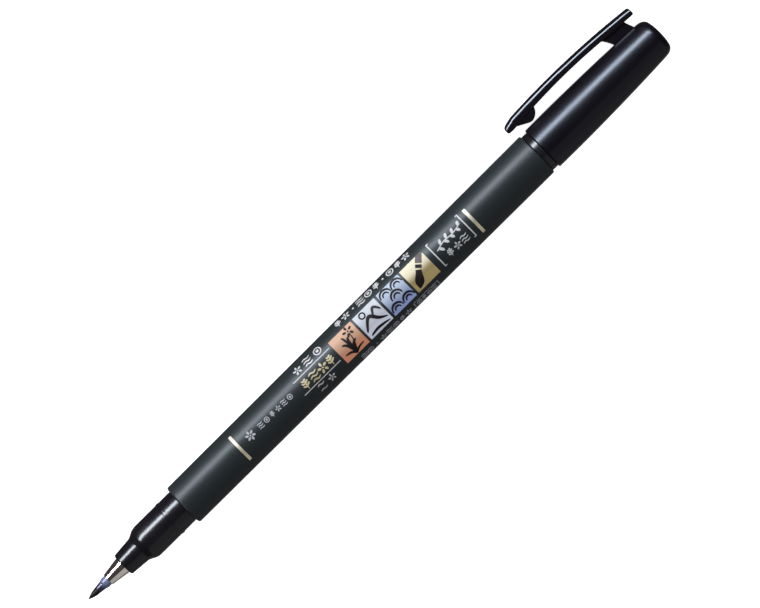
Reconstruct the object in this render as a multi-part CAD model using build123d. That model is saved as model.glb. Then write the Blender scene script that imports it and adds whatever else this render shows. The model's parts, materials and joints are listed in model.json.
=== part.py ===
from build123d import *
import math
import os

# A slim disposable brush pen with its cap posted on the tail, lying on a table and resting on its clip.
# Units are millimetres. Each piece is made in the pen's own frame: the pen's axis is +Z, the brush point
# is at station 0, stations grow towards the closed end of the cap, and the clip is on the +X side.
# lay_down() then puts the pen on the table: the brush point looks along +X and +Z is up.

# ---- driving dimensions -------------------------------------------------------------------------
pen_length = 161.8            # brush point to the closed end of the posted cap
fit_gap = 0.02                # radial gap of pieces pressed or slipped into each other
slide_gap = 0.05              # gap between pieces that move against each other

brush_point_r = 0.10
brush_shoulder = 2.8          # where the bare core meets the sheath
brush_core_r = 0.70
brush_sheath_r = 1.15
brush_flex_station = 5.6      # mouth of the ferrule, where the brush starts to bend
brush_stem_front = 7.0
core_stem_rear = 30.0
sheath_stem_rear = 20.0

ferrule_mouth_r = 1.38
ferrule_bore_r = 1.26
ferrule_rear_r = 1.95
ferrule_wall = 0.22
ferrule_rear = 15.0

nose_front = 9.7
nose_front_r = 2.60
nose_rear = 14.2
nose_rear_r = 2.96
section_front = 16.2          # end of the shoulder behind the nose
section_r = 3.90
spigot_r = 3.60
section_rear = 38.0
bush_front = 15.2
bush_step = 17.6
bush_rear = 22.5

barrel_front = 26.75
barrel_rear = 127.1
barrel_front_r = 4.75
barrel_rear_r = 5.00
barrel_bore_r = spigot_r + fit_gap
barrel_rim_round = 0.45
rib_count = 6
rib_width = 0.6

reservoir_rear = 110.0
reservoir_r = 2.90
film_wall = 0.10

collar_rear = 128.45
collar_r = 4.58
stub_r = 3.90
stub_rear = 140.0
plug_wall = 0.80
bead_height = 0.13
bead_length = 1.0
bead_to_rim = 3.65            # from a cap seat's stop face to the middle of its bead

cap_rim = collar_rear + slide_gap
cap_r = 5.05
cap_bore_r = 4.10
cap_shoulder = 159.3          # where the side turns into the rounded end
cap_shoulder_r = 4.40
liner_front = 141.5
liner_rear = 157.9
liner_r = 3.72
liner_wall = 0.65

clip_front = 125.8
clip_split = 151.6            # root of the arm, where it bends
clip_rear = 160.6
clip_root_half_width = 1.75
clip_tip_half_width = 1.45
clip_edge_round = 1.15
clip_crest = 139.5
clip_crest_r = 9.38
clip_contact = 147.0          # where the clip's edge meets the table
clip_contact_r = 9.35
web_half_width = 1.2

# ---- lying on the table -------------------------------------------------------------------------
# The pen rolls until the clip's lower long edge touches the table beside the cap.
clip_edge_r = clip_contact_r - clip_edge_round
taper_share = (clip_contact - clip_front) / (clip_rear - clip_front)
clip_contact_half_width = clip_tip_half_width + (clip_root_half_width - clip_tip_half_width) * taper_share
clip_edge_offset = clip_contact_half_width - clip_edge_round
edge_angle = math.atan2(clip_edge_offset, clip_edge_r)
roll = math.asin((cap_r - clip_edge_round) / math.hypot(clip_edge_r, clip_edge_offset)) - edge_angle
clip_reach = (clip_crest_r - clip_edge_round) * math.cos(roll) + clip_edge_offset * math.sin(roll) + clip_edge_round
axis_y = (clip_reach - cap_r) / 2
axis_z = cap_r
lying = Plane(
    origin=(pen_length / 2, axis_y, axis_z),
    x_dir=(0, -math.cos(roll), -math.sin(roll)),
    z_dir=(-1, 0, 0),
)


def lay_down(piece):
    return lying.location * piece


# ---- helpers ------------------------------------------------------------------------------------
def turned(*outline):
    """A solid turned about the pen's axis from the corners (radius, station) of its half section."""
    return revolve(make_face(Plane.XZ * Polyline(*outline, close=True)), Axis.Z)


def side_face(*edges):
    """A face on the XZ plane from a closed chain of edges drawn in (x, station)."""
    return make_face([part for edge in edges for part in (Plane.XZ * edge).edges()])


def turned_from(*edges):
    """A solid turned about the pen's axis from a closed chain of edges drawn in (radius, station)."""
    return revolve(side_face(*edges), Axis.Z)


def tube(inner_r, outer_r, front, rear):
    return turned((inner_r, front), (outer_r, front), (outer_r, rear), (inner_r, rear))


def rod(radius, front, rear):
    return turned((0, front), (radius, front), (radius, rear), (0, rear))


def ring_edges(piece, station, radius):
    """The circular edges of a turned piece at one station and radius."""
    near = 0.01
    return [
        edge for edge in piece.edges().filter_by(GeomType.CIRCLE)
        if abs(edge.arc_center.Z - station) < near and abs(edge.radius - radius) < near
    ]


def bead(radius, station):
    """A low rounded snap ring round a cylinder."""
    half = bead_length / 2
    return turned_from(
        Polyline((radius, station + half), (radius - 0.3, station + half), (radius - 0.3, station - half),
                 (radius, station - half)),
        ThreePointArc((radius, station - half), (radius + bead_height, station), (radius, station + half)),
    )


def fins(count, inner_r, outer_r, width, front, rear):
    """Radial fins round the pen's axis."""
    fin = Pos((inner_r + outer_r) / 2, 0, (front + rear) / 2) * Box(outer_r - inner_r, width, rear - front)
    return Compound([Rot(0, 0, 360 / count * index) * fin for index in range(count)])


def in_front_of_ball(piece):
    """Trims a flexing brush piece so that its inner end is part of a ball round the bend's centre."""
    ball = Pos(0, 0, brush_flex_station) * Sphere(brush_sheath_r)
    front_part = rod(brush_sheath_r, 0, brush_flex_station)
    return piece & (ball + front_part)


# ---- brush --------------------------------------------------------------------------------------
def nib_core_tip():
    bare_r = brush_core_r + 0.06
    inside_rear = brush_flex_station + brush_sheath_r
    point = turned_from(
        Line((0, 0), (brush_point_r, 0.04)),
        ThreePointArc((brush_point_r, 0.04), (0.55, 1.25), (bare_r, brush_shoulder)),
        Polyline((bare_r, brush_shoulder), (brush_core_r, brush_shoulder), (brush_core_r, inside_rear),
                 (0, inside_rear), (0, 0)),
    )
    return in_front_of_ball(point)


def nib_sheath_tip():
    inner_r = brush_core_r + fit_gap
    rear = brush_flex_station + brush_sheath_r
    sheath = turned(
        (inner_r, brush_shoulder), (0.80, brush_shoulder), (0.93, 3.9), (brush_sheath_r, 4.45),
        (brush_sheath_r, rear), (inner_r, rear),
    )
    return in_front_of_ball(sheath)


def nib_core_stem():
    return rod(brush_core_r, brush_stem_front, core_stem_rear)


def nib_sheath_stem():
    return tube(brush_core_r + fit_gap, brush_sheath_r, brush_stem_front, sheath_stem_rear)


# ---- writing end --------------------------------------------------------------------------------
def ferrule():
    skirt_bore_r = ferrule_rear_r - ferrule_wall
    shell = turned(
        (ferrule_bore_r, brush_flex_station), (ferrule_mouth_r, brush_flex_station),
        (ferrule_rear_r, nose_front), (ferrule_rear_r, ferrule_rear), (skirt_bore_r, ferrule_rear),
        (skirt_bore_r, nose_front + 0.6), (ferrule_bore_r, brush_stem_front),
    )
    return fillet(ring_edges(shell, brush_flex_station, ferrule_mouth_r), 0.05)


def front_section():
    skirt_seat_r = ferrule_rear_r + fit_gap
    bush_seat_r = 2.50
    reservoir_seat_r = reservoir_r + film_wall + 3 * fit_gap
    body = turned(
        (skirt_seat_r, nose_front), (nose_front_r, nose_front), (nose_rear_r, nose_rear),
        (section_r, section_front), (section_r, barrel_front), (spigot_r, barrel_front),
        (spigot_r, section_rear), (reservoir_seat_r, section_rear), (reservoir_seat_r, bush_step),
        (bush_seat_r, bush_step), (bush_seat_r, bush_front), (skirt_seat_r, bush_front),
    )
    body = fillet(ring_edges(body, nose_front, nose_front_r), 0.25)
    body = fillet(ring_edges(body, nose_rear, nose_rear_r), 0.8)
    body = fillet(ring_edges(body, section_front, section_r), 2.2)
    return body + bead(section_r, barrel_front - bead_to_rim)


def nib_bush():
    outer_r = reservoir_r + film_wall
    bush = turned(
        (brush_sheath_r + fit_gap, bush_front + fit_gap), (2.48, bush_front + fit_gap),
        (2.48, bush_step + fit_gap), (outer_r, bush_step + fit_gap), (outer_r, bush_rear),
        (brush_core_r + fit_gap, bush_rear), (brush_core_r + fit_gap, sheath_stem_rear + fit_gap),
        (brush_sheath_r + fit_gap, sheath_stem_rear + fit_gap),
    )
    air_channels = fins(4, outer_r - 0.35, outer_r + 0.2, 0.5, bush_step - 1, bush_rear + 1)
    return bush - air_channels


# ---- ink ----------------------------------------------------------------------------------------
def ink_reservoir():
    core_seat = rod(brush_core_r + fit_gap, bush_rear - 1, core_stem_rear + 0.5)
    return rod(reservoir_r - fit_gap, bush_rear + fit_gap, reservoir_rear) - core_seat


def reservoir_film():
    return tube(reservoir_r, reservoir_r + film_wall, bush_rear + fit_gap, reservoir_rear)


# ---- barrel and tail ----------------------------------------------------------------------------
def barrel():
    shell = turned(
        (barrel_bore_r, barrel_front), (barrel_front_r, barrel_front), (barrel_rear_r, barrel_rear),
        (barrel_bore_r, barrel_rear),
    )
    shell = fillet(ring_edges(shell, barrel_front, barrel_front_r), barrel_rim_round)
    shell = fillet(ring_edges(shell, barrel_rear, barrel_rear_r), barrel_rim_round)
    rib_inner_r = reservoir_r + film_wall + 3 * fit_gap
    ribs = fins(rib_count, rib_inner_r, barrel_bore_r + 0.2, rib_width, section_rear + 1, reservoir_rear)
    return shell + ribs


def tail_plug():
    spigot_front = reservoir_rear + 5
    hollow_r = stub_r - plug_wall
    body = turned(
        (hollow_r, spigot_front), (spigot_r, spigot_front), (spigot_r, barrel_rear), (collar_r, barrel_rear),
        (collar_r, collar_rear), (stub_r, collar_rear), (stub_r, stub_rear), (0, stub_rear),
        (0, stub_rear - plug_wall), (hollow_r, stub_rear - plug_wall),
    )
    body = fillet(ring_edges(body, barrel_rear, collar_r) + ring_edges(body, collar_rear, collar_r), 0.15)
    body = fillet(ring_edges(body, stub_rear, stub_r), 0.5)
    stop_fins = fins(4, 0, hollow_r + 0.1, 0.7, reservoir_rear + 0.1, stub_rear - plug_wall / 2)
    return body + bead(stub_r, collar_rear + bead_to_rim) + stop_fins


# ---- cap ----------------------------------------------------------------------------------------
def cap_outside():
    rim_r = cap_r - 0.03
    parallel_end = cap_rim + 5
    outer = turned_from(
        Polyline((0, pen_length), (0, cap_rim), (rim_r, cap_rim), (cap_r, parallel_end)),
        TangentArc((cap_r, parallel_end), (cap_shoulder_r, cap_shoulder), tangent=(0, 1)),
        Line((cap_shoulder_r, cap_shoulder), (cap_shoulder_r - 0.15, pen_length - 0.65)),
        ThreePointArc((cap_shoulder_r - 0.15, pen_length - 0.65), (2.3, pen_length - 0.2), (0, pen_length)),
    )
    outer = fillet(ring_edges(outer, pen_length - 0.65, cap_shoulder_r - 0.15), 1.5)
    return fillet(ring_edges(outer, cap_rim, rim_r), 0.3)


def cap_shell():
    liner_seat_r = liner_r + fit_gap
    end_pocket = pen_length - 1.9
    bead_station = collar_rear + bead_to_rim
    hollow = turned(
        (0, cap_rim - 1), (cap_bore_r + 1.25, cap_rim - 1), (cap_bore_r, cap_rim + 0.25),
        (cap_bore_r, bead_station - 0.9), (cap_bore_r + 0.1, bead_station - 0.7),
        (cap_bore_r + 0.1, bead_station + 0.7), (cap_bore_r, bead_station + 0.9),
        (cap_bore_r, liner_front - fit_gap), (liner_seat_r, liner_front - fit_gap),
        (liner_seat_r, liner_rear + fit_gap), (liner_r - 0.5, liner_rear + fit_gap),
        (liner_r - 0.5, end_pocket), (0, end_pocket),
    )
    return cap_outside() - hollow


def inner_cap():
    hollow_r = liner_r - liner_wall
    cup = turned(
        (hollow_r + 0.2, liner_front), (liner_r, liner_front), (liner_r, liner_rear), (0, liner_rear),
        (0, liner_rear - 1), (hollow_r, liner_rear - 1), (hollow_r, liner_front + 0.4),
    )
    return fillet(ring_edges(cup, liner_rear, liner_r), 0.3)


# ---- clip ---------------------------------------------------------------------------------------
def clip_bar():
    """The whole curved bar of the clip, from its free end to the overhang behind the web."""
    nose_top = (9.03, 129.5)
    under_front = (6.74, clip_front + 0.4)
    under_rear = (6.36, clip_rear)
    side = side_face(
        ThreePointArc((8.14, clip_rear), (clip_crest_r, clip_crest), nose_top),
        ThreePointArc(nose_top, (8.62, 127.0), (7.9, clip_front)),
        Line((7.9, clip_front), (7.1, clip_front)),
        ThreePointArc((7.1, clip_front), (6.84, clip_front + 0.12), under_front),
        Line(under_front, (6.78, 129.0)),
        ThreePointArc((6.78, 129.0), (7.44, 140.5), (6.94, 152.2)),
        Polyline((6.94, 152.2), (6.42, 158.1), under_rear, (8.14, clip_rear)),
    )
    bar = extrude(side, clip_root_half_width, both=True)
    plan = Plane.YZ * Polyline(
        (-clip_tip_half_width, clip_front), (clip_tip_half_width, clip_front),
        (clip_root_half_width, clip_rear), (-clip_root_half_width, clip_rear), close=True)
    bar = bar & extrude(make_face(plan), 2 * clip_crest_r)
    outer_sides = [
        edge for edge in bar.edges()
        if edge.length > 3 and (edge @ 0.5).X > 8.2 and abs((edge @ 0.5).Y) > clip_tip_half_width - 0.1
    ]
    return fillet(outer_sides, clip_edge_round)


def clip_cut(front_part):
    """A block that keeps the part of the clip in front of its root, or the part behind it."""
    gap = 0.05
    low, high = (clip_front - 5, clip_split - gap) if front_part else (clip_split, clip_rear + 5)
    return Pos(clip_crest_r, 0, (low + high) / 2) * Box(2 * clip_crest_r, 10, high - low)


def clip_base():
    web = make_face(Plane.XZ * Polyline((4.5, 153.5), (7.1, 152.3), (7.1, 158.1), (4.2, 159.0), close=True))
    web = extrude(web, web_half_width, both=True)
    return (clip_bar() & clip_cut(False)) + (web - cap_outside())


def clip_arm():
    pad_side = side_face(
        Line((7.3, 127.6), (5.6, 130.3)),
        ThreePointArc((5.6, 130.3), (5.40, 131.15), (5.62, 132.0)),
        ThreePointArc((5.62, 132.0), (6.22, 132.75), (7.3, 133.2)),
        Line((7.3, 133.2), (7.3, 127.6)),
    )
    pad = extrude(pad_side, web_half_width, both=True)
    return (clip_bar() & clip_cut(True)) + pad


if __name__ == "__main__":
    os.makedirs("parts", exist_ok=True)
    pieces = [
        nib_core_tip, nib_sheath_tip, nib_core_stem, nib_sheath_stem, ferrule, front_section, nib_bush,
        ink_reservoir, reservoir_film, barrel, tail_plug, cap_shell, inner_cap, clip_base, clip_arm,
    ]
    for make in pieces:
        export_step(lay_down(make()), f"parts/{make.__name__}.step")
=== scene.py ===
import bmesh
import bpy
import json
import math
from mathutils import Matrix, Vector


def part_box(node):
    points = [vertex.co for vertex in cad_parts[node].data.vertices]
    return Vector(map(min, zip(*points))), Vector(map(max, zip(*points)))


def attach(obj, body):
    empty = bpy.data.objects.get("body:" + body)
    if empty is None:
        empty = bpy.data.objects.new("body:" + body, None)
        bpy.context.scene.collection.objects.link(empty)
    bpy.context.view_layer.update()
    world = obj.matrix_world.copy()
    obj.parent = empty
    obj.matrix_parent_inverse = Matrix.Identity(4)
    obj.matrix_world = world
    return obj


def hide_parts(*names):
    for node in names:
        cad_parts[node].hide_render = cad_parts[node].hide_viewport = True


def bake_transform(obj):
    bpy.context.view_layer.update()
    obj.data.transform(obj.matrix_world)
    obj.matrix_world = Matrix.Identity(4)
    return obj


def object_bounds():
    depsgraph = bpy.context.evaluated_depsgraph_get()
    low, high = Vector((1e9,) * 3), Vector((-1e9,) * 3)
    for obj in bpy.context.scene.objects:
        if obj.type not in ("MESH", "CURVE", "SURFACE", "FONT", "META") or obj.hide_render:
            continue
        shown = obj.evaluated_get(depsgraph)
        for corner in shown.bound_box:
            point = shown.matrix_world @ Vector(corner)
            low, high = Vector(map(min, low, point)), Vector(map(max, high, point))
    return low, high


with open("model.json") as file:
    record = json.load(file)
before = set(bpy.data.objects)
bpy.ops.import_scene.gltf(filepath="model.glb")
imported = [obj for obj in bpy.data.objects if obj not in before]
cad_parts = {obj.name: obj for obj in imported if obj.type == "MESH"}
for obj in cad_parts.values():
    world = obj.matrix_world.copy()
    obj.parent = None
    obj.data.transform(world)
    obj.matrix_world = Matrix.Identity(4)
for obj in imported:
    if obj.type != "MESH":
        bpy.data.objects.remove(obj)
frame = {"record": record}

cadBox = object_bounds()
record = frame["record"]

# Every piece is modelled in millimetres with the pen standing on its brush point: the pen's axis is +Z,
# the clip is towards +X and the printed side towards +Y. layDown then puts it into the frame.
mm = 0.001
joints = {joint["name"]: joint for joint in record["behaviour"]["joints"]}
barrelLow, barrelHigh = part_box("barrel")
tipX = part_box("nib_core_tip")[1][0]
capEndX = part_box("cap_shell")[0][0]
penLength = (tipX - capEndX) / mm
axisY = (barrelLow[1] + barrelHigh[1]) / 2
axisZ = (barrelLow[2] + barrelHigh[2]) / 2
printSide = -Vector(joints["clip_flex"]["axis"])
printSide.normalize()
towardsCap = Vector((-1, 0, 0))
clipSide = printSide.cross(towardsCap)


def station(x):
    return (tipX - x) / mm


penToFrame = Matrix.Translation((tipX, axisY, axisZ)) @ Matrix((
    (clipSide.x, printSide.x, towardsCap.x, 0),
    (clipSide.y, printSide.y, towardsCap.y, 0),
    (clipSide.z, printSide.z, towardsCap.z, 0),
    (0, 0, 0, 1),
)) @ Matrix.Scale(mm, 4)
frameToPen = penToFrame.inverted()


def letGo():
    for thing in list(bpy.context.selected_objects):
        thing.select_set(False)


def takeUp(piece):
    letGo()
    piece.select_set(True)
    bpy.context.view_layer.objects.active = piece


def openMesh(piece):
    takeUp(piece)
    bpy.ops.object.mode_set(mode="EDIT")
    bpy.ops.mesh.select_all(action="DESELECT")


def closeMesh():
    bpy.ops.object.mode_set(mode="OBJECT")


def pickVertices(piece, wanted):
    shape = bmesh.from_edit_mesh(piece.data)
    bpy.ops.mesh.select_all(action="DESELECT")
    bpy.ops.mesh.select_mode(type="VERT")
    for vertex in shape.verts:
        vertex.select = wanted(vertex.co)
    shape.select_flush(True)
    bmesh.update_edit_mesh(piece.data)


def pickEdges(piece, wanted):
    shape = bmesh.from_edit_mesh(piece.data)
    bpy.ops.mesh.select_all(action="DESELECT")
    bpy.ops.mesh.select_mode(type="EDGE")
    for edge in shape.edges:
        edge.select = wanted(edge)
    bmesh.update_edit_mesh(piece.data)


def drawOutline(name, corners, closed):
    # corners are (x, z, reach): a line is pulled from corner to corner, and each corner is then rounded
    # over its reach
    letGo()
    bpy.ops.mesh.primitive_plane_add(size=1)
    piece = bpy.context.object
    piece.name = name
    bpy.ops.object.mode_set(mode="EDIT")
    bpy.ops.mesh.select_mode(type="VERT")
    bpy.ops.mesh.select_all(action="SELECT")
    bpy.ops.mesh.merge(type="CENTER")
    here = Vector((corners[0][0], 0, corners[0][1]))
    bpy.ops.transform.translate(value=here)
    for x, z, _ in corners[1:]:
        there = Vector((x, 0, z))
        bpy.ops.mesh.extrude_region_move(TRANSFORM_OT_translate={"value": there - here})
        here = there
    if closed:
        ends = (corners[0], corners[-1])
        pickVertices(piece, lambda co: any((co - Vector((x, 0, z))).length < 1e-4 for x, z, _ in ends))
        bpy.ops.mesh.edge_face_add()
    for x, z, reach in corners:
        if reach:
            corner = Vector((x, 0, z))
            pickVertices(piece, lambda co: (co - corner).length < 1e-4)
            bpy.ops.mesh.bevel(offset=reach, offset_type="ABSOLUTE", segments=6, affect="VERTICES")
    return piece


def tidyMesh(piece, smoothTo=38):
    bpy.ops.mesh.select_all(action="SELECT")
    bpy.ops.mesh.remove_doubles(threshold=0.0004)
    bpy.ops.mesh.normals_make_consistent(inside=False)
    closeMesh()
    bpy.ops.object.shade_smooth_by_angle(angle=math.radians(smoothTo))
    evenNormals(piece)


def evenNormals(piece):
    # large faces keep their own direction, so that a long side shades evenly right up to its rounded edge
    takeUp(piece)
    even = piece.modifiers.new("even", "WEIGHTED_NORMAL")
    even.weight = 100
    even.keep_sharp = True
    bpy.ops.object.modifier_apply(modifier=even.name)


def turnPiece(name, corners, closed=True, steps=128):
    piece = drawOutline(name, corners, closed)
    bpy.ops.mesh.select_all(action="SELECT")
    bpy.ops.mesh.spin(steps=steps, angle=math.tau, center=(0, 0, 0), axis=(0, 0, 1))
    tidyMesh(piece)
    return piece


def layDown(piece):
    takeUp(piece)
    piece.matrix_world = penToFrame
    bpy.ops.object.transform_apply(location=True, rotation=True, scale=True)


def finishPiece(piece, material, body, stands=()):
    layDown(piece)
    piece.data.materials.clear()
    piece.data.materials.append(material)
    if body:
        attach(piece, body)
    if stands:
        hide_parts(*stands)


def circleThrough(start, middle, end):
    # centre and radius of the circle through three (x, z) points
    (ax, az), (bx, bz), (cx, cz) = start, middle, end
    twice = 2 * (ax * (bz - cz) + bx * (cz - az) + cx * (az - bz))
    a2, b2, c2 = ax * ax + az * az, bx * bx + bz * bz, cx * cx + cz * cz
    ox = (a2 * (bz - cz) + b2 * (cz - az) + c2 * (az - bz)) / twice
    oz = (a2 * (cx - bx) + b2 * (ax - cx) + c2 * (bx - ax)) / twice
    return ox, oz, math.hypot(ax - ox, az - oz)


def arcThrough(start, middle, end, count):
    # points of the circle through three (x, z) points, without its first one
    (ax, az), (bx, bz), (cx, cz) = start, middle, end
    ox, oz, radius = circleThrough(start, middle, end)
    first = math.atan2(az - oz, ax - ox)
    last = math.atan2(cz - oz, cx - ox)
    via = math.atan2(bz - oz, bx - ox)
    turn = (last - first) % math.tau
    if (via - first) % math.tau > turn:
        turn -= math.tau
    angles = [first + turn * step / count for step in range(1, count + 1)]
    return [(ox + radius * math.cos(angle), oz + radius * math.sin(angle), 0) for angle in angles]


class Wire:
    # one output of a node; sums on wires add the Math nodes that work them out
    def __init__(self, tree, socket):
        self.tree = tree
        self.socket = socket

    def add(self, kind, settings, inputs, output=0):
        made = self.tree.nodes.new(kind)
        for key, value in settings.items():
            setattr(made, key, value)
        for key, value in inputs.items():
            if isinstance(value, Wire):
                self.tree.links.new(value.socket, made.inputs[key])
            else:
                made.inputs[key].default_value = value
        return Wire(self.tree, made.outputs[output])

    def worked(self, operation, first, second=0.0):
        return self.add("ShaderNodeMath", {"operation": operation}, {0: first, 1: second})

    def __add__(self, other):
        return self.worked("ADD", self, other)

    def __radd__(self, other):
        return self.worked("ADD", other, self)

    def __sub__(self, other):
        return self.worked("SUBTRACT", self, other)

    def __rsub__(self, other):
        return self.worked("SUBTRACT", other, self)

    def __mul__(self, other):
        return self.worked("MULTIPLY", self, other)

    def __rmul__(self, other):
        return self.worked("MULTIPLY", other, self)

    def above(self, low, high):
        # 0 under low, 1 over high, and smooth between them
        smooth = {"interpolation_type": "SMOOTHSTEP"}
        return self.add("ShaderNodeMapRange", smooth, {0: self, 1: low, 2: high})

    def blend(self, under, over):
        # colours mixed by this wire
        return self.add("ShaderNodeMix", {"data_type": "RGBA"}, {0: self, 6: under, 7: over}, 2)


class Finish:
    # a material with its Principled shader and the pen's own millimetre coordinates
    def __init__(self, name):
        self.material = bpy.data.materials.new(name)
        self.material.use_nodes = True
        self.tree = self.material.node_tree
        self.shader = self.tree.nodes["Principled BSDF"]
        self.start = Wire(self.tree, None)
        place, turn, size = frameToPen.decompose()
        objectPlace = self.start.add("ShaderNodeTexCoord", {}, {}, "Object")
        self.place = self.start.add("ShaderNodeMapping", {}, {
            "Vector": objectPlace, "Location": place, "Rotation": turn.to_euler("XYZ"), "Scale": size})
        apart = self.tree.nodes.new("ShaderNodeSeparateXYZ")
        self.tree.links.new(self.place.socket, apart.inputs[0])
        self.x, self.y, self.z = (Wire(self.tree, apart.outputs[index]) for index in range(3))

    def noise(self, size, detail=3.0, roughness=0.55, stretch=1.0):
        # patches about size millimetres across, stretched along the pen
        where = self.start.add("ShaderNodeVectorMath", {"operation": "MULTIPLY"}, {
            0: self.place, 1: (1, 1, 1 / stretch)})
        return self.start.add("ShaderNodeTexNoise", {}, {
            "Vector": where, "Scale": 1 / size, "Detail": detail, "Roughness": roughness})

    def scratches(self, size, stretch, angle):
        # thin hairlines: the narrow middle of a long-stretched noise
        where = self.start.add("ShaderNodeMapping", {}, {
            "Vector": self.place, "Rotation": (0.0, math.radians(angle), 0.3), "Scale": (1, 1, 1 / stretch)})
        streak = self.start.add("ShaderNodeTexNoise", {}, {
            "Vector": where, "Scale": 1 / size, "Detail": 2.0, "Roughness": 0.4})
        return 1 - self.start.worked("ABSOLUTE", streak - 0.5).above(0.0, 0.012)

    def set(self, **values):
        names = {
            "colour": "Base Color", "roughness": "Roughness", "metal": "Metallic", "alpha": "Alpha",
            "specular": "Specular IOR Level", "specularTint": "Specular Tint", "sheen": "Sheen Weight",
            "under": "Subsurface Weight", "underScale": "Subsurface Scale",
        }
        for key, value in values.items():
            socket = self.shader.inputs[names[key]]
            if isinstance(value, Wire):
                self.tree.links.new(value.socket, socket)
            else:
                socket.default_value = value
        return self

    def relief(self, height, depth, strength=1.0):
        # height is 0 to 1, depth is its size in millimetres
        bump = self.start.add("ShaderNodeBump", {}, {
            "Strength": strength, "Distance": depth * mm, "Height": height})
        self.tree.links.new(bump.socket, self.shader.inputs["Normal"])
        return self


def tone(red, green, blue):
    return (red, green, blue, 1.0)


def shaded(colour, share):
    return tone(*(part * share for part in colour[:3]))


def barrelMatt():
    look = {"colour": tone(0.0110, 0.0150, 0.0172), "worn": tone(0.028, 0.033, 0.036), "roughness": 0.395}
    finish = Finish("barrel_matt")
    cloud = finish.noise(9, 4, 0.6, 2.5)
    grain = finish.noise(0.09, 2, 0.6)
    rub = finish.noise(2.4, 5, 0.7, 6)
    edge = 1 - (finish.z - (barrel["front"] + 0.15)).above(0.0, 0.45)
    edge = edge * rub.above(0.35, 0.6)
    colour = (cloud * 0.35 + grain * 0.15).blend(look["colour"], tone(0.0138, 0.0182, 0.0206))
    colour = edge.blend(colour, look["worn"])
    roughness = look["roughness"] + (grain - 0.5) * 0.10 + (cloud - 0.5) * 0.06 - rub.above(0.56, 0.75) * 0.05
    finish.set(colour=colour, roughness=roughness, specular=0.14)
    return finish.relief(grain, 0.0022).material


def sectionGloss():
    finish = Finish("section_gloss")
    smear = finish.noise(3.5, 4, 0.65, 1.6)
    fine = finish.noise(0.35, 2, 0.5)
    hair = finish.scratches(0.5, 9, 8)
    colour = (smear * 0.5).blend(tone(0.0040, 0.0037, 0.0056), tone(0.0070, 0.0066, 0.0095))
    roughness = 0.21 + smear.above(0.45, 0.75) * 0.05 + hair * 0.05 + (fine - 0.5) * 0.02
    finish.set(colour=colour, roughness=roughness, specular=0.30)
    return finish.relief(fine * 0.6 + smear * 0.4, 0.0015).material


def capGloss():
    finish = Finish("cap_gloss")
    smear = finish.noise(5, 4, 0.65, 1.8)
    fine = finish.noise(0.16, 2, 0.6)
    hair = finish.scratches(0.6, 12, 5)
    colour = (smear * 0.6).blend(tone(0.0022, 0.0013, 0.0032), tone(0.0045, 0.0036, 0.0066))
    roughness = 0.295 + (smear - 0.5) * 0.08 + hair * 0.03 + (fine - 0.5) * 0.05
    finish.set(colour=colour, roughness=roughness, specular=0.26, specularTint=tone(0.80, 0.89, 1.0))
    return finish.relief(fine, 0.0012).material


def plugGloss():
    finish = Finish("plug_gloss")
    smear = finish.noise(2.5, 3, 0.6)
    colour = (smear * 0.5).blend(tone(0.0040, 0.0040, 0.0060), tone(0.0085, 0.0085, 0.0110))
    finish.set(colour=colour, roughness=0.24 + smear.above(0.4, 0.7) * 0.06, specular=0.30)
    return finish.relief(smear, 0.0010).material


def ferruleMetal():
    finish = Finish("ferrule_metal")
    rings = finish.noise(0.6, 2, 0.5, 0.04)
    tarnish = finish.noise(1.6, 4, 0.65)
    colour = tarnish.above(0.45, 0.8).blend(tone(0.80, 0.76, 0.70), tone(0.66, 0.60, 0.52))
    finish.set(colour=colour, metal=1.0, roughness=0.07 + rings * 0.06 + tarnish.above(0.5, 0.8) * 0.05)
    return finish.relief(rings, 0.0015).material


def inkedFibre():
    finish = Finish("inked_fibre")
    fibres = finish.noise(0.055, 3, 0.7, 14)
    wet = finish.noise(0.5, 3, 0.6, 2)
    colour = fibres.above(0.40, 0.80).blend(tone(0.0012, 0.0010, 0.0009), tone(0.016, 0.013, 0.010))
    finish.set(colour=colour, roughness=0.58 - wet.above(0.45, 0.7) * 0.20, specular=0.12)
    return finish.relief(fibres, 0.012).material


def sheathBlue():
    finish = Finish("sheath_blue")
    milk = finish.noise(0.7, 3, 0.6, 1.5)
    inner = finish.z.above(brushSheath["cone"] - 0.7, brushSheath["tube"] + 0.1)
    stained = tone(0.016, 0.014, 0.050)
    milky = milk.blend(tone(0.082, 0.096, 0.185), tone(0.125, 0.145, 0.255))
    colour = inner.blend(stained, milky)
    finish.set(colour=colour, roughness=0.20 + milk * 0.10, specular=0.35, under=0.25, underScale=0.0006)
    return finish.relief(milk, 0.004).material


def mouldedNatural(name, colour):
    finish = Finish(name)
    cloud = finish.noise(1.5, 4, 0.6)
    flow = finish.noise(0.4, 3, 0.6, 6)
    mixed = (cloud * 0.5 + flow * 0.3).blend(colour, shaded(colour, 0.8))
    finish.set(colour=mixed, roughness=0.36 + flow * 0.12)
    return finish.relief(flow, 0.004).material


def reservoirFibre():
    finish = Finish("reservoir_fibre")
    strands = finish.noise(0.06, 3, 0.7, 30)
    soak = finish.noise(2.2, 3, 0.6, 4)
    colour = soak.above(0.3, 0.7).blend(tone(0.010, 0.010, 0.014), tone(0.05, 0.05, 0.07))
    finish.set(colour=colour, roughness=0.8 + strands * 0.15, sheen=0.2)
    return finish.relief(strands, 0.03).material


def filmClear():
    finish = Finish("film_clear")
    crease = finish.noise(1.2, 4, 0.6, 5)
    finish.set(colour=(crease * 0.4).blend(tone(0.60, 0.62, 0.66), tone(0.45, 0.47, 0.52)),
               roughness=0.16 + crease * 0.15, alpha=0.35)
    return finish.relief(crease, 0.02).material


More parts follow.
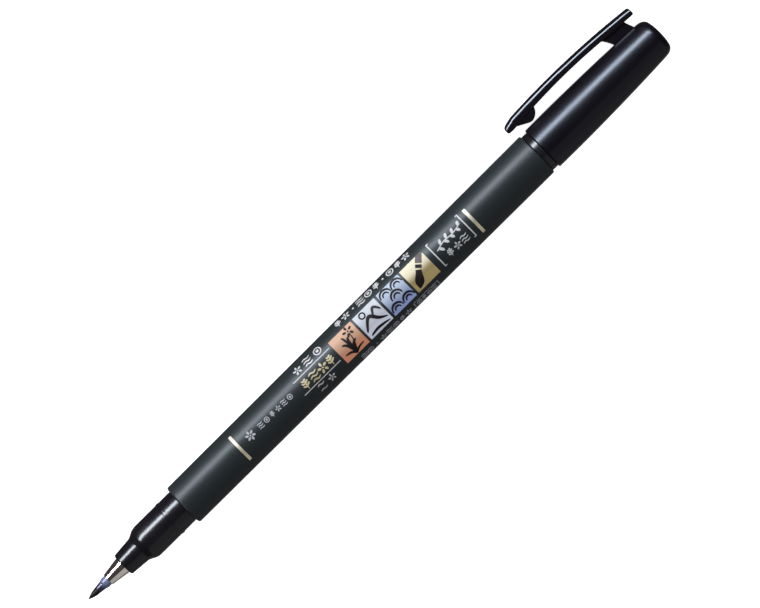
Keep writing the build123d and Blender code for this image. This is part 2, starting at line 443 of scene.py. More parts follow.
def foil(name, tint, metal=0.0, roughness=0.50):
    # hot-stamped foil whose colour runs from the clip side to the far side as painted light and shade
    finish = Finish(name)
    clipSideLitTone, farSideLitTone, low, high = foilLitTones[tint]
    across = finish.x.above(low, high)
    speck = finish.noise(0.12, 3, 0.7)
    mottle = finish.noise(1.1, 4, 0.6)
    # painted light and shade across the foil, from the clip side to the far side, with a random mottle
    colour = (across + (mottle - 0.5) * 0.25).blend(farSideLitTone, clipSideLitTone)
    # painted light: the far edge is lifted brighter where the light falls off
    colour = finish.x.above(-3.0, -0.7).blend(shaded(farSideLitTone, 1.9), colour)
    colour = speck.above(0.68, 0.78).blend(colour, shaded(farSideLitTone, 0.45))
    finish.set(colour=colour, metal=metal, roughness=roughness + mottle * 0.12 + speck.above(0.6, 0.8) * 0.1,
               specular=0.18)
    return finish.relief(speck, 0.003).material


def printInk(name, colour, deeper):
    finish = Finish(name)
    speck = finish.noise(0.07, 3, 0.7)
    thin = finish.noise(0.8, 4, 0.6)
    tint = (speck.above(0.45, 0.8) * 0.5 + thin.above(0.5, 0.8) * 0.3).blend(colour, deeper)
    finish.set(colour=tint, roughness=0.5 + speck * 0.15, specular=0.10)
    return finish.relief(speck, 0.004).material


def floorPaper():
    look = {"colour": tone(0.93, 0.93, 0.93), "deeper": tone(0.90, 0.90, 0.90)}
    finish = Finish("floor_paper")
    fibre = finish.noise(1.4, 4, 0.6)
    broad = finish.noise(400, 2, 0.5)
    finish.set(colour=(fibre * 0.3 + broad * 0.5).blend(look["colour"], look["deeper"]), roughness=0.9,
               specular=0.1)
    finish.shader.inputs["Emission Color"].default_value = (1, 1, 1, 1)
    finish.shader.inputs["Emission Strength"].default_value = stage["floorGlow"]
    return finish.relief(fibre, 0.01).material


# bendRings are stations with a ring of points, so that the brush point can bend between them
brushSheath = {"shoulder": 2.8, "cone": 4.1, "tube": 4.5, "front": 0.80, "step": 0.95, "radius": 1.15,
               "bore": 0.72, "rear": 20.0, "bendRings": (4.9, 5.3, 5.7, 6.1, 6.6)}
brushCore = {"tip": 0.06, "tipStation": 0.03, "belly": 0.56, "bellyStation": 1.30, "radius": 0.76,
             "inner": 0.70, "rear": 30.0, "bendRings": (5.2, 6.4, 8)}
flexStation = station(joints["nib_flex"]["pos_m"][0])
bendReach = 0.9


def makeBrushCore():
    size = brushCore
    tip = (size["tip"], size["tipStation"])
    shoulder = brushSheath["shoulder"]
    belly = arcThrough(tip, (size["belly"], size["bellyStation"]), (size["radius"], shoulder), 14)
    corners = [(0, 0, 0), (size["tip"] * 0.7, 0.008, 0), (*tip, 0)] + belly + [(size["inner"], shoulder, 0)]
    corners += [(size["inner"], along, 0) for along in size["bendRings"]]
    corners += [(size["inner"], size["rear"], 0), (0, size["rear"], 0)]
    piece = turnPiece("brush_core", corners, closed=False, steps=64)
    finishPiece(piece, inkedFibre(), None, ("nib_core_tip", "nib_core_stem"))
    bendPoint(piece)
    return piece


def bendPoint(piece):
    # bakes the piece's placement into its mesh; the stations either side of the flex are worked out but not
    # used
    penToFrame @ Vector((0, 0, flexStation + bendReach))
    penToFrame @ Vector((0, 0, flexStation - bendReach))
    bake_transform(piece)


def makeBrushSheath():
    size = brushSheath
    corners = [
        (size["bore"], size["shoulder"], 0), (size["front"], size["shoulder"], 0.03),
        (size["step"], size["cone"], 0.10), (size["radius"], size["tube"], 0.14),
    ]
    corners += [(size["radius"], along, 0) for along in size["bendRings"]]
    corners += [(size["radius"], size["rear"], 0), (size["bore"], size["rear"], 0),
                (size["bore"], 6.6, 0), (size["bore"], 5.6, 0)]
    piece = turnPiece("brush_sheath", corners, steps=64)
    finishPiece(piece, sheathBlue(), None, ("nib_sheath_tip", "nib_sheath_stem"))
    bendPoint(piece)
    return piece


ferrule = {"mouth": 1.38, "bore": 1.26, "rear": 1.95, "wall": 0.22, "skirtRear": 15.0}
nose = {"front": 9.72, "frontRadius": 2.60, "rear": 14.2, "rearRadius": 2.96}
section = {"front": 16.2, "radius": 3.90, "spigot": 3.60, "rear": 38.0, "bead": 23.1, "beadHeight": 0.13,
           "seatRadius": 1.97, "bushRadius": 2.50, "bushFront": 15.2, "bushRear": 17.6, "soakRadius": 3.06}
barrel = {"front": 26.75, "frontRadius": 4.75, "rear": 127.1, "rearRadius": 5.0, "bore": 3.62}


def makeFerrule():
    size = ferrule
    inside = size["rear"] - size["wall"]
    corners = [
        (size["bore"], flexStation, 0.03), (size["mouth"], flexStation, 0.045),
        (size["mouth"] + 0.005, flexStation + 0.3, 0), (size["mouth"] - 0.012, flexStation + 0.36, 0),
        (size["mouth"] + 0.03, flexStation + 0.42, 0),
        (size["rear"], nose["front"], 0.25), (size["rear"], size["skirtRear"], 0.05),
        (inside, size["skirtRear"], 0),
        (inside, nose["front"] + 0.6, 0), (size["bore"], flexStation + 1.4, 0),
    ]
    piece = turnPiece("ferrule_cone", corners, steps=96)
    finishPiece(piece, ferruleMetal(), "pen_body", ("ferrule",))
    return piece


def makeSection():
    seat, bush, soak = section["seatRadius"], section["bushRadius"], section["soakRadius"]
    half = 0.42
    bead = section["bead"]
    low = section["radius"]
    high = low + section["beadHeight"]
    corners = [
        (seat, nose["front"], 0.05), (nose["frontRadius"], nose["front"], 0.42),
        (nose["frontRadius"] + 0.03, nose["front"] + 0.75, 0),
        (nose["rearRadius"], nose["rear"] + 0.1, 0.30), (low, section["front"] - 0.1, 0.70),
        (low, 18.2, 0), (low, bead - half - 0.16, 0.02), (low - 0.03, bead - half - 0.06, 0.03),
        (low + 0.02, bead - half, 0.03), (high, bead - 0.12, 0.16), (high, bead + 0.12, 0.16),
        (low, bead + half, 0.05), (low, barrel["front"] - 0.22, 0), (low - 0.05, barrel["front"] - 0.12, 0),
        (low - 0.05, barrel["front"] + 0.02, 0), (section["spigot"], barrel["front"] + 0.02, 0),
        (section["spigot"], section["rear"], 0.2), (soak, section["rear"], 0), (soak, section["bushRear"], 0),
        (bush, section["bushRear"], 0), (bush, section["bushFront"], 0), (seat, section["bushFront"], 0),
    ]
    piece = turnPiece("front_section_gloss", corners)
    finishPiece(piece, sectionGloss(), "pen_body", ("front_section",))
    return piece


def barrelRadius(along):
    share = (along - barrel["front"]) / (barrel["rear"] - barrel["front"])
    return barrel["frontRadius"] + (barrel["rearRadius"] - barrel["frontRadius"]) * share


def makeBarrel():
    size = barrel
    shut = 0.05
    corners = [
        (size["bore"], size["front"], 0.05), (size["frontRadius"], size["front"], 0.46),
        (barrelRadius(size["front"] + 0.9), size["front"] + 0.9, 0),
        (barrelRadius(60), 60, 0), (barrelRadius(95), 95, 0),
        (barrelRadius(size["rear"] - 0.8), size["rear"] - 0.8, 0),
        (size["rearRadius"], size["rear"] - shut, 0.36), (size["bore"], size["rear"] - shut, 0.05),
    ]
    piece = turnPiece("barrel_tube", corners)
    finishPiece(piece, barrelMatt(), "pen_body", ("barrel",))
    return piece


plug = {"front": 115.0, "spigot": 3.60, "collarRear": 128.45, "collar": 4.58, "stub": 3.90, "stubRear": 140.0,
        "bead": 132.1}


def makePlug():
    size = plug
    start = barrel["rear"]
    corners = [
        (0, size["front"], 0), (size["spigot"], size["front"], 0.2), (size["spigot"], start, 0),
        (size["collar"], start, 0.13), (size["collar"], start + 0.3, 0),
        (size["collar"], size["collarRear"] - 0.3, 0),
        (size["collar"], size["collarRear"], 0.14), (size["stub"], size["collarRear"], 0.06),
        (size["stub"], size["bead"] - 0.5, 0.06), (size["stub"] + 0.13, size["bead"], 0.2),
        (size["stub"], size["bead"] + 0.5, 0.06), (size["stub"], size["stubRear"] - 0.8, 0),
        (size["stub"], size["stubRear"], 0.5), (0, size["stubRear"], 0),
    ]
    piece = turnPiece("tail_plug_gloss", corners, closed=False)
    finishPiece(piece, plugGloss(), "pen_body", ("tail_plug",))
    return piece


cap = {"rim": 128.50, "rimRadius": 5.02, "widest": 133.5, "radius": 5.05, "shoulder": 159.3,
       "shoulderRadius": 4.40, "bore": 4.10, "groove": 132.1, "grooveDepth": 0.1, "linerFront": 141.5,
       "linerRear": 157.9, "liner": 3.72, "linerWall": 0.65}


def capSide(along):
    # the cap's side is parallel near its mouth, then curves gently inwards
    share = max(0.0, (along - cap["widest"]) / (cap["shoulder"] - cap["widest"]))
    return cap["radius"] - (cap["radius"] - cap["shoulderRadius"]) * share ** 2


def makeCap():
    size = cap
    end = penLength
    side = [(capSide(along), along, 0) for along in (133.5, 137.5, 141.5, 145.5, 149.5, 153, 156, 158.4)]
    seat = size["liner"] + 0.02
    groove = size["bore"] + size["grooveDepth"]
    corners = [
        (size["bore"] + 0.14, size["rim"], 0.06), (size["rimRadius"], size["rim"], 0.26),
        (size["rimRadius"] + 0.005, size["rim"] + 0.8, 0),
    ] + side + [
        (size["shoulderRadius"] - 0.13, end - 0.60, 1.55), (3.2, end - 0.36, 0.5), (2.2, end - 0.12, 0.5),
        (1.0, end - 0.02, 0), (0, end, 0), (0, end - 1.9, 0), (size["liner"] - 0.5, end - 1.9, 0.2),
        (size["liner"] - 0.5, size["linerRear"] + 0.02, 0), (seat, size["linerRear"] + 0.02, 0),
        (seat, size["linerFront"] - 0.02, 0), (size["bore"], size["linerFront"] - 0.02, 0),
        (size["bore"], size["groove"] + 0.9, 0), (groove, size["groove"] + 0.7, 0),
        (groove, size["groove"] - 0.7, 0), (size["bore"], size["groove"] - 0.9, 0),
        (size["bore"], size["rim"] + 0.4, 0),
    ]
    piece = turnPiece("cap_tube", corners)
    finishPiece(piece, capGloss(), "cap", ("cap_shell",))
    return piece


def makeLiner():
    size = cap
    hollow = size["liner"] - size["linerWall"]
    corners = [
        (0, size["linerRear"], 0), (size["liner"], size["linerRear"], 0.3),
        (size["liner"], size["linerFront"] + 0.3, 0), (size["liner"], size["linerFront"], 0.08),
        (hollow + 0.2, size["linerFront"], 0.08), (hollow, size["linerFront"] + 0.5, 0.1),
        (hollow, size["linerRear"] - 1, 0.4), (0, size["linerRear"] - 1, 0),
    ]
    piece = turnPiece("cap_liner_cup", corners, closed=False, steps=96)
    finishPiece(piece, mouldedNatural("liner_natural", tone(0.52, 0.52, 0.48)), "cap_liner",
                ("inner_cap",))
    return piece


clip = {"front": 125.80, "rear": 160.62, "tipHalf": 1.42, "rootHalf": 1.72, "edge": 1.24, "foot": 0.16,
        "padHalf": 1.30, "padEdge": 0.16, "webHalf": 1.15, "webEdge": 0.14,
        "bendFrom": 150.2, "bendTo": 152.3}


def heightOn(arc, along):
    # how far out a circle (centre out, centre along, radius) is at a station
    out, middle, radius = arc
    return out + math.sqrt(radius * radius - (along - middle) ** 2)


def clipHalfWidth(along):
    share = (along - clip["front"]) / (clip["rear"] - clip["front"])
    return clip["tipHalf"] + (clip["rootHalf"] - clip["tipHalf"]) * share


def makeClipBar():
    back = circleThrough((8.15, 160.6), (9.37, 139.5), (9.12, 129.4))
    belly = circleThrough((6.95, 152.2), (7.42, 140.5), (7.22, 133.4))
    # the nose rounds off in steps of (station, outer, inner, width share), and the root end in its own
    noseSteps = ((127.7, 8.92, 6.79, 0.99), (127.1, 8.80, 6.77, 0.97), (126.6, 8.66, 6.78, 0.93),
                 (126.2, 8.49, 6.82, 0.87), (126.0, 8.34, 6.88, 0.80), (125.87, 8.15, 6.98, 0.70),
                 (125.8, 7.92, 7.12, 0.58))
    rootSteps = ((160.35, 8.12, 6.38, 0.98), (160.50, 8.02, 6.44, 0.94), (160.58, 7.90, 6.52, 0.89),
                 (160.62, 7.76, 6.62, 0.83))
    stations = [158.2, 155.5, 153.2, 152.4, 151.9, 151.4, 150.9, 150.4, 149.6, 148.5, 147, 145, 143, 141, 139,
                137, 135, 133.4, 132, 130.6, 129.4, 128.3]

    def sides(along):
        inner = heightOn(belly, along)
        if along > 152.4:
            inner = 6.93 - (along - 152.4) * 0.072
        return heightOn(back, along), inner, clipHalfWidth(along)

    first = 160.15
    outer, inner, half = sides(first)
    letGo()
    bpy.ops.mesh.primitive_plane_add(size=1, location=((outer + inner) / 2, 0, first))
    piece = bpy.context.object
    piece.name = "cap_clip"
    piece.scale = (outer - inner, 2 * half, 1)
    bpy.ops.object.transform_apply(location=True, rotation=True, scale=True)
    bpy.ops.object.mode_set(mode="EDIT")
    pickVertices(piece, lambda co: co.x > 7.5)
    bpy.ops.mesh.bevel(offset=clip["edge"], offset_type="ABSOLUTE", segments=9, affect="VERTICES")
    pickVertices(piece, lambda co: co.x < 6.8)
    bpy.ops.mesh.bevel(offset=clip["foot"], offset_type="ABSOLUTE", segments=3, affect="VERTICES")

    def pull(start, steps):
        here = start
        for there in steps:
            (z0, out0, in0, half0), (z1, out1, in1, half1) = here, there
            middle = Vector(((out0 + in0) / 2, 0, z0))
            centre = Vector(((out1 + in1) / 2, 0, z1))
            growth = ((out1 - in1) / (out0 - in0), half1 / half0, 1)
            bpy.ops.mesh.extrude_region_move(TRANSFORM_OT_translate={"value": centre - middle})
            bpy.ops.transform.resize(value=growth, center_override=centre)
            here = there

    body = [(along, *sides(along)) for along in stations]
    nose = [(along, out, inside, clipHalfWidth(along) * share) for along, out, inside, share in noseSteps]
    root = [(along, out, inside, clipHalfWidth(along) * share) for along, out, inside, share in rootSteps]
    start = (first, outer, inner, half)
    bpy.ops.mesh.select_all(action="SELECT")
    pull(start, body + nose)
    pickVertices(piece, lambda co: abs(co.z - first) < 1e-3)
    pull(start, root)
    bpy.ops.mesh.select_all(action="SELECT")
    bpy.ops.mesh.remove_doubles(threshold=0.0004)
    bpy.ops.mesh.normals_make_consistent(inside=False)
    closeMesh()
    return piece


def crossPiece(name, corners, half, edge):
    # a side view pulled across the pen and eased along its edges
    piece = drawOutline(name, corners, closed=True)
    bpy.ops.mesh.select_all(action="SELECT")
    bpy.ops.mesh.edge_face_add()
    bpy.ops.mesh.select_all(action="SELECT")
    bpy.ops.transform.translate(value=(0, -half, 0))
    bpy.ops.mesh.extrude_region_move(TRANSFORM_OT_translate={"value": (0, 2 * half, 0)})
    bpy.ops.mesh.select_all(action="SELECT")
    bpy.ops.mesh.normals_make_consistent(inside=False)
    pickEdges(piece, lambda line: abs(line.verts[0].co.y - line.verts[1].co.y) < 1e-4)
    bpy.ops.mesh.bevel(offset=edge, offset_type="OFFSET", segments=3, affect="EDGES")
    closeMesh()
    return piece


def joinTo(piece, others):
    takeUp(piece)
    for other in others:
        other.select_set(True)
    bpy.ops.object.join()


def makeClip():
    piece = makeClipBar()
    padFoot = arcThrough((5.62, 130.35), (5.40, 131.05), (5.60, 131.85), 6)
    padBack = arcThrough((5.60, 131.85), (6.30, 132.75), (7.10, 133.22), 6)
    pad = crossPiece("clip_pad", [(7.6, 128.0, 0), (6.84, 128.0, 0), (5.62, 130.35, 0)] + padFoot + padBack
                     + [(7.6, 133.3, 0)], clip["padHalf"], clip["padEdge"])
    webFront = arcThrough((6.95, 152.2), (6.15, 152.75), (4.60, 153.5), 6)
    web = crossPiece("clip_web", [(7.4, 151.9, 0), (6.95, 152.2, 0)] + webFront + [(4.1, 158.95, 0),
                     (6.0, 158.22, 0), (7.4, 157.9, 0)], clip["webHalf"], clip["webEdge"])
    joinTo(piece, (pad, web))
    openMesh(piece)
    tidyMesh(piece, 30)
    finishPiece(piece, clipGloss(), None, ("clip_base", "clip_arm"))
    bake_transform(piece)
    return piece


def clipGloss():
    finish = Finish("clip_gloss")
    smear = finish.noise(4, 4, 0.65, 2)
    hair = finish.scratches(0.4, 14, 3)
    colour = (smear * 0.5).blend(tone(0.0036, 0.0030, 0.0048), tone(0.0065, 0.0060, 0.0085))
    finish.set(colour=colour, roughness=0.11 + smear.above(0.45, 0.75) * 0.04 + hair * 0.05,
               specular=0.28, specularTint=tone(0.86, 0.93, 1.0))
    return finish.relief(smear, 0.002).material


# The print is drawn flat, in millimetres: along = distance from the brush tip, up = round the barrel towards
# the clip. Each ink is then thickened and wrapped round the barrel. All marks are plain ornaments.
printed = {"sunk": -0.010, "proud": 0.022, "overSunk": 0.006, "overProud": 0.036, "facet": 0.45, "reach": 7}
squares = {
    "copper": (70.45, 76.65), "steel": (77.2, 83.3), "blue": (83.9, 89.97), "gold": (90.5, 96.62),
    "low": -3.28, "high": 2.78,
}


def flat(kind, along, up, **shape):
    letGo()
    kind(location=(up, 0, along), rotation=(math.pi / 2, 0, 0), **shape)
    piece = bpy.context.object
    bpy.ops.object.transform_apply(location=True, rotation=True, scale=True)
    return piece


def bar(first, last, low, high):
    # a filled rectangle
    piece = flat(bpy.ops.mesh.primitive_plane_add, (first + last) / 2, (low + high) / 2, size=1)
    middle = ((low + high) / 2, 0, (first + last) / 2)
    bpy.ops.object.mode_set(mode="EDIT")
    bpy.ops.transform.resize(value=(high - low, 1, last - first), center_override=middle)
    closeMesh()
    return piece


def dot(along, up, radius):
    return flat(bpy.ops.mesh.primitive_circle_add, along, up, vertices=16, radius=radius, fill_type="NGON")


def ring(along, up, radius, line):
    piece = flat(bpy.ops.mesh.primitive_circle_add, along, up, vertices=28, radius=radius, fill_type="NGON")
    bpy.ops.object.mode_set(mode="EDIT")
    bpy.ops.mesh.select_all(action="SELECT")
    bpy.ops.mesh.inset(thickness=line)
    bpy.ops.mesh.delete(type="FACE")
    closeMesh()
    return piece


def alongPath(path, share):
    # a smooth curve through the path's (along, up) points
    spans = len(path) - 1
    place = min(share * spans, spans - 1e-6)
    index = int(place)
    t = place - index
    p = [Vector(path[max(0, min(spans, index + step))]) for step in (-1, 0, 1, 2)]
    return 0.5 * (2 * p[1] + (p[2] - p[0]) * t + (2 * p[0] - 5 * p[1] + 4 * p[2] - p[3]) * t * t
                  + (3 * p[1] - p[0] - 3 * p[2] + p[3]) * t ** 3)


def stroke(path, width, start=0.5, end=0.06, steps=12, fullness=0.7):
    # one pull of a brush: full in the middle, start and end are its widths' shares at the two ends
    letGo()
    bpy.ops.mesh.primitive_grid_add(x_subdivisions=1, y_subdivisions=steps, size=1)
    piece = bpy.context.object
    for vertex in piece.data.vertices:
        share = vertex.co.y + 0.5
        side = vertex.co.x * 2
        here = alongPath(path, share)
        ahead = alongPath(path, min(1, share + 0.01)) - alongPath(path, max(0, share - 0.01))
        across = Vector((-ahead.y, ahead.x)).normalized()
        ends = start + (end - start) * share
        half = width / 2 * (ends + (1 - ends) * math.sin(math.pi * share) ** fullness)
        place = here + across * half * side
        vertex.co = (place.y, 0, place.x)
    return piece


def leaf(along, up, length, angle, width):
    turn = math.radians(angle)
    tip = (along + length * math.cos(turn), up + length * math.sin(turn))
    bow = (along + length * 0.5 * math.cos(turn) - 0.08 * length * math.sin(turn),
           up + length * 0.5 * math.sin(turn) + 0.08 * length * math.cos(turn))
    return stroke([(along, up), bow, tip], width, 0.15, 0.05, 6)


def blossom(along, up, size, petals=5, turn=90):
    parts = [dot(along, up, size * 0.16)]
    for petal in range(petals):
        angle = turn + petal * 360 / petals
        out = math.radians(angle)
        root = (along + size * 0.30 * math.cos(out), up + size * 0.30 * math.sin(out))
        parts.append(leaf(*root, size * 0.72, angle, size * 0.42))
    return parts


def sprig(along, up, size, lean=0):
    # an upright stem with pairs of leaves
    foot = (along - size * 0.1, up - size)
    top = (along + size * (0.1 + lean), up + size)
    parts = [stroke([foot, (along, up), top], size * 0.20, 0.7, 0.3, 6)]
    for level, reach in ((-0.45, 0.85), (0.1, 0.80), (0.6, 0.55)):
        parts.append(leaf(along, up + level * size, size * reach, 28, size * 0.34))
        parts.append(leaf(along, up + level * size, size * reach, 152, size * 0.34))
    return parts


def ripples(along, up, size, rows=3):
    parts = []
    for row in range(rows):
        level = up + size * (0.75 - 1.5 * row / max(1, rows - 1))
        parts.append(stroke([(along - size, level - 0.10 * size), (along - size * 0.4, level + 0.16 * size),
                             (along + size * 0.3, level - 0.14 * size), (along + size, level + 0.12 * size)],
                            size * 0.30, 0.5, 0.2, 8))
    return parts


def target(along, up, size):
    return [ring(along, up, size * 0.92, size * 0.24), dot(along, up, size * 0.34)]


def ornamentRow(first, last, up, size, count, offset=0):
    # small ornaments spread evenly between two stations
    makers = (blossom, ripples, target, sprig)
    parts = []
    for index in range(count):
        along = first + size + (last - first - 2 * size) * (index / max(1, count - 1))
        parts += makers[(index + offset) % len(makers)](along, up, size)
    return parts


def wrapRound(name, parts, sunk, proud, material):
    # join the flat parts, cut them into narrow facets, thicken them and wrap them round the barrel
    letGo()
    for part in parts:
        part.select_set(True)
    piece = parts[0]
    bpy.context.view_layer.objects.active = piece
    if len(parts) > 1:
        bpy.ops.object.join()
    piece.name = name
    bpy.ops.object.mode_set(mode="EDIT")
    reach = printed["reach"]
    cuts = round(2 * reach / printed["facet"])
    for cut in range(cuts + 1):
        bpy.ops.mesh.select_all(action="SELECT")
        bpy.ops.mesh.bisect(plane_co=(-reach + 2 * reach * cut / cuts, 0, 0), plane_no=(1, 0, 0))
    bpy.ops.mesh.select_all(action="SELECT")
    bpy.ops.transform.translate(value=(0, sunk, 0))
    bpy.ops.mesh.extrude_region_move(TRANSFORM_OT_translate={"value": (0, proud - sunk, 0)})
    closeMesh()
    for vertex in piece.data.vertices:
        up, height, along = vertex.co
        radius = barrelRadius(along)
        turn = up / radius
        vertex.co = ((radius + height) * math.sin(turn), (radius + height) * math.cos(turn), along)
    openMesh(piece)
    bpy.ops.mesh.select_all(action="SELECT")
    bpy.ops.mesh.normals_make_consistent(inside=False)
    closeMesh()
    bpy.ops.object.shade_smooth_by_angle(angle=math.radians(30))
    finishPiece(piece, material, "pen_body")


def makePrint():
    low, high = squares["low"], squares["high"]
    wrapRound("gold_bands", [bar(42.78, 43.42, -3.24, 3.53), bar(108.12, 108.80, -3.96, 2.70)],
              printed["sunk"], printed["proud"], foil("band_gold", "band", 0.12, 0.42))
    for tint in ("copper", "steel", "blue", "gold"):
        first, last = squares[tint]
        wrapRound(tint + "_square", [bar(first, last, low, high)], printed["sunk"], printed["proud"],
                  foil(tint + "_foil", tint))
    wrapRound("gold_marks", sprig(61.6, -0.09, 1.15) + ripples(64.0, -0.09, 1.05) + blossom(66.3, -0.09, 1.2)
              + sprig(68.5, -0.09, 1.1), printed["sunk"], printed["proud"],
              foil("marks_gold", "marks"))
    wrapRound("pale_marks", paleMarks(), printed["sunk"], printed["proud"],
              printInk("pale_ink", tone(0.40, 0.41, 0.43), tone(0.24, 0.25, 0.27)))
    wrapRound("soft_marks", softMarks(), printed["sunk"], printed["proud"],
              printInk("soft_ink", tone(0.30, 0.31, 0.34), tone(0.18, 0.19, 0.21)))
    wrapRound("faint_marks", faintMarks(), printed["sunk"], printed["proud"],
              printInk("faint_ink", tone(0.27, 0.28, 0.31), tone(0.15, 0.16, 0.18)))
    handle = trimmed(stroke([(94.60, 1.30), (97.60, 4.50)], 1.40, 1.0, 1.1, 4), squares["gold"][1], high)
    wrapRound("handle_mark", [handle], printed["overSunk"], printed["overProud"],
              printInk("handle_ink", tone(0.060, 0.048, 0.052), tone(0.10, 0.085, 0.09)))
    wrapRound("black_marks", blackMarks(), printed["overSunk"], printed["overProud"],
              printInk("black_ink", tone(0.0045, 0.0036, 0.0040), tone(0.015, 0.012, 0.013)))


# each foil's own colour with painted light and shade: its tone at the clip side, its tone at the far side,
# and the span (low, high) in millimetres across the pen over which one turns into the other
foilLitTones = {
    "copper": (tone(0.345, 0.203, 0.134), tone(0.340, 0.137, 0.078), -2.7, 0.3),
    "steel": (tone(0.297, 0.327, 0.362), tone(0.365, 0.388, 0.460), -2.9, 2.7),
    "blue": (tone(0.242, 0.296, 0.394), tone(0.148, 0.192, 0.350), -2.4, 0.8),
    "gold": (tone(0.445, 0.415, 0.310), tone(0.215, 0.170, 0.070), -0.8, 0.9),
    "band": (tone(0.365, 0.345, 0.285), tone(0.262, 0.240, 0.165), -0.9, 0.8),
    "marks": (tone(0.430, 0.395, 0.280), tone(0.340, 0.290, 0.150), -1.2, 1.2),
}


def paleMarks():
    parts = [bar(59.8, 69.85, 1.73, 1.89), bar(59.8, 69.85, -1.66, -1.50)]
    parts += ornamentRow(61.2, 68.8, 3.31, 1.02, 3)
    parts += ripples(63.7, -2.95, 0.90, 2) + blossom(66.3, -2.95, 0.92)
    # the row above the squares
    parts += ornamentRow(73.6, 77.8, 4.80, 1.03, 2, 3) + [dot(78.9, 4.80, 0.24)]
    parts += ornamentRow(79.9, 86.4, 4.80, 1.03, 3, 1) + [dot(87.3, 4.80, 0.24)]
    parts += ornamentRow(88.2, 94.7, 4.80, 1.03, 3, 2)
    # brackets round the last group
    for edge, arm in ((98.0, 98.62), (106.9, 106.28)):
        thick = 0.13 if arm > edge else -0.13
        parts.append(bar(min(edge, edge + 2 * thick), max(edge, edge + 2 * thick), -3.3, 2.98))
        for level in (-3.3, 2.74):
            parts.append(bar(min(edge, arm), max(edge, arm), level, level + 0.24))
    # an olive branch between them, and three small ornaments under it
    branch = [(98.95, 0.25), (101.3, 0.85), (103.6, 0.70), (106.1, 1.15)]
    parts.append(stroke(branch, 0.26, 0.8, 0.3, 20))
    for step in range(8):
        along, up = alongPath(branch, 0.10 + 0.115 * step)
        parts.append(leaf(along, up, 1.30 - 0.04 * step, 62 if step % 2 else -52, 0.62))
    parts += ornamentRow(99.9, 105.7, -1.80, 0.90, 3, 3)
    return parts


def softMarks():
    # beside the first gold band: a blossom and a row of small ornaments
    return blossom(46.4, 0.45, 1.10, 6) + ornamentRow(48.7, 58.1, 0.40, 0.64, 6, 1)


def faintMarks():
    # the row under the squares
    parts = ornamentRow(73.3, 76.5, -5.3, 0.86, 2, 1) + [dot(77.5, -5.3, 0.2)]
    parts += ornamentRow(78.5, 87.3, -5.3, 0.86, 5, 0)
    parts += [bar(88.1, 94.9, -4.48, -4.36), bar(88.1, 94.9, -6.3, -6.18), bar(88.1, 88.3, -6.3, -4.36),
              bar(94.7, 94.9, -6.3, -4.36)]
    parts += ornamentRow(88.7, 94.3, -5.33, 0.70, 4, 2)
    return parts


def grassMarks():
    # a clump of long leaves arching from one root, with a flower standing over it
    parts = []
    for reach, rise, width in ((-2.3, 1.3, 0.50), (-1.5, 3.3, 0.56), (-0.5, 4.6, 0.50), (0.7, 3.9, 0.60),
                               (1.8, 2.6, 0.56), (2.6, 0.9, 0.46)):
        root = (73.4, -3.05)
        parts.append(stroke([root, (73.4 + reach * 0.35, -3.05 + rise * 0.75), (73.4 + reach, -3.05 + rise)],
                            width, 0.35, 0.03, 12))
    parts.append(stroke([(73.5, -3.0), (74.6, -0.6), (74.9, 1.2)], 0.26, 0.9, 0.7, 10))
    return parts + blossom(74.9, 1.55, 1.25)


def hillMarks():
    # hills under a low sun
    return [
        ring(79.1, 1.75, 0.80, 0.34),
        stroke([(77.6, -1.6), (79.2, 0.25), (80.2, 0.55), (81.4, -0.9), (83.0, -1.9)], 0.80, 0.3, 0.1, 16),
        stroke([(80.6, -0.1), (81.8, 1.5), (82.95, 0.1)], 0.62, 0.2, 0.1, 10),
        stroke([(77.8, -2.65), (79.9, -2.35), (82.9, -2.85)], 0.62, 0.4, 0.1, 10),
    ]


def waveMarks():
    # scallops of water, one row standing over the next
    parts = []
    for along, up in ((85.45, -2.55), (88.5, -2.55), (86.98, -0.55), (85.45, 1.15), (88.5, 1.15)):
        for reach, width in ((1.38, 0.50), (0.72, 0.42)):
            bow = [(along + reach * math.cos(math.radians(turn)), up + reach * math.sin(math.radians(turn)))
                   for turn in range(180, -1, -30)]
            parts.append(stroke(bow, width, 0.5, 0.4, 14))
    return parts


def trimmed(piece, along, up):
    # cut off whatever reaches past that station or higher than that
    openMesh(piece)
    for place, normal in (((0, 0, along), (0, 0, 1)), ((up, 0, 0), (1, 0, 0))):
        bpy.ops.mesh.select_all(action="SELECT")
        bpy.ops.mesh.bisect(plane_co=place, plane_no=normal, clear_outer=True)
    closeMesh()
    return piece


def brushMarks():
    # a plain brush lying across the square: bristles and collar
    return [
        stroke([(91.30, -2.85), (92.35, -1.45), (93.70, 0.30)], 1.95, 0.0, 0.66, 20, 1.8),
        stroke([(93.93, 0.56), (94.42, 1.10)], 1.36, 1.0, 1.0, 3),
    ]


def blackMarks():
    return grassMarks() + hillMarks() + waveMarks() + brushMarks()


print("brush point, ferrule and section")
makeBrushCore()
makeBrushSheath()
makeFerrule()
makeSection()
print("barrel and tail plug")
makeBarrel()
makePlug()
print("foil squares, rules and marks")
makePrint()
print("cap, liner and clip")
makeCap()
makeLiner()
makeClip()

print("inner pieces")
innerLooks = {
    "nib_bush": mouldedNatural("bush_natural", tone(0.60, 0.60, 0.57)),
    "ink_reservoir": reservoirFibre(),
    "reservoir_film": filmClear(),
}
for node, material in innerLooks.items():
    piece = bpy.data.objects[node]
    for index in range(len(piece.material_slots)):
        piece.material_slots[index].material = material

stage = {
    "floorRadius": 3.0, "aim": (0.865, 0.0, 83.38), "viewWidth": 152.8, "lens": 300.0, "tilt": 44.785,
    "keyAngle": 45.2, "keySpread": 17.0, "keyDistance": 0.62, "keyLength": 1.1, "keyGlow": 40.0,
    "keyColour": (0.86, 0.925, 1.0), "cardAngle": -73.5, "cardGlow": 0.40, "lowCardGlow": 0.14,
    "worldTone": (0.062, 0.053, 0.054), "topFlood": 6.5, "sideFlood": 78.0, "backFlood": 7.0,
    "floorGlow": 0.90, "floorWall": 1.6, "floorCove": 0.8,
}


